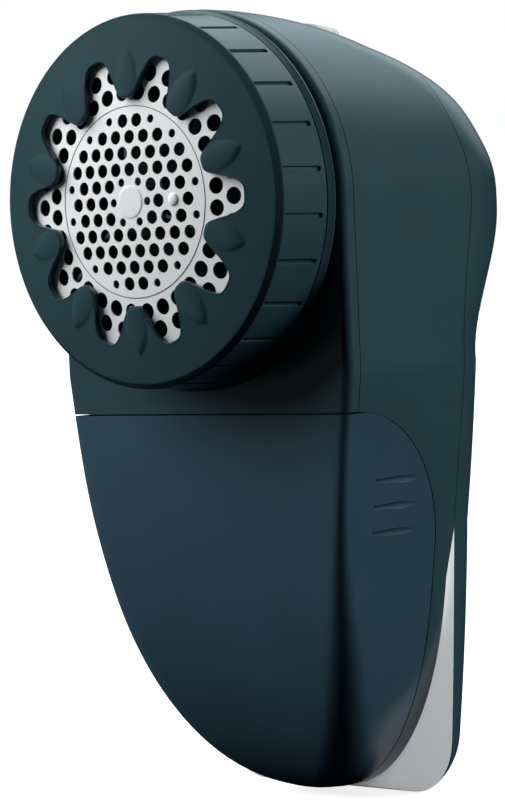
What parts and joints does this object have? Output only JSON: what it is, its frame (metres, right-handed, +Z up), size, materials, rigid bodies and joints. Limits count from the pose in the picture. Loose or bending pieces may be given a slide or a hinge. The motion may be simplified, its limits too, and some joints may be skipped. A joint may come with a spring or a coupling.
{
  "type": "fabric shaver",
  "caption": "Hand-held battery fabric shaver: round perforated foil behind a star-shaped height guard, ribbed grip band, pull-off lint bin, curved rear grip and top switch.",
  "frame": {"origin": "centre of the flat base under the grip", "axes": "+Z up along the grip, -Y the way the shaving head faces, +X to the right of someone facing the head"},
  "size_m": [0.0684, 0.075, 0.1442],
  "materials": {
    "body_plastic": "satin moulded plastic, dark teal",
    "bin_plastic": "smooth smoked navy plastic",
    "light_plastic": "light grey moulded plastic",
    "dark_plastic": "black engineering plastic",
    "white_plastic": "off-white moulded plastic",
    "foil_steel": "satin stainless steel",
    "steel": "bright zinc-plated steel",
    "blade_steel": "ground hardened steel",
    "brass": "pressed brass",
    "bronze": "sintered bronze",
    "copper_rotor": "lacquered copper winding on a steel core",
    "magnet": "dark ferrite",
    "cell_wrap": "shrink wrap over a steel can",
    "rubber": "soft black rubber",
    "rivet": "pearly white"
  },
  "bodies": {
    "body": {"shaving_foil": "foil_steel", "foil_boss": "foil_steel", "foil_rivet": "rivet", "foil_ring": "dark_plastic", "cutter_housing": "dark_plastic", "spindle_bush": "bronze", "motor_magnets": "magnet", "motor_can": "steel", "motor_end_cap": "white_plastic", "motor_terminals": "brass", "motor_mount": "dark_plastic", "motor_screws": "steel", "lint_chute": "dark_plastic", "chute_seal": "rubber", "front_plate": "body_plastic", "side_body": "body_plastic", "battery_tray": "light_plastic", "rear_cover": "body_plastic", "battery_cells": "cell_wrap", "battery_springs": "steel", "battery_contacts": "steel", "power_strips": "brass", "switch_body": "dark_plastic", "case_screws": "steel"},
    "lift": {"lift_ring": "dark_plastic"},
    "guard": {"height_guard": "body_plastic"},
    "cutter": {"cutter_hub": "dark_plastic", "cutter_blades": "blade_steel", "cutter_spring": "steel", "drive_spindle": "steel", "motor_rotor": "copper_rotor"},
    "switch": {"switch_button": "light_plastic"},
    "bin": {"lint_collector": "bin_plastic"},
    "door": {"battery_door": "body_plastic"}
  },
  "joints": [
    {"name": "guard_lift", "type": "slide", "parent": "body", "child": "lift", "axis": [0, -1, 0], "range_m": [0, 0.003]},
    {"name": "guard_turn", "type": "hinge", "parent": "lift", "child": "guard", "pos_m": [0, -0.0515, 0.11], "axis": [0, -1, 0], "range_deg": [0, 60]},
    {"name": "cutter_spin", "type": "hinge", "parent": "body", "child": "cutter", "pos_m": [0, -0.0515, 0.11], "axis": [0, -1, 0], "continuous": true},
    {"name": "switch_slide", "type": "slide", "parent": "body", "child": "switch", "axis": [0, -0.9563, 0.2924], "range_m": [0, 0.003]},
    {"name": "bin_slide", "type": "slide", "parent": "body", "child": "bin", "axis": [0, 0, -1], "range_m": [0, 0.045]},
    {"name": "door_slide", "type": "slide", "parent": "body", "child": "door", "axis": [0, 1, 0], "range_m": [0, 0.02]}
  ],
  "couplings": [
    {"joint": "guard_lift", "follows": "guard_turn", "m_per_rad": 0.00286}
  ]
}
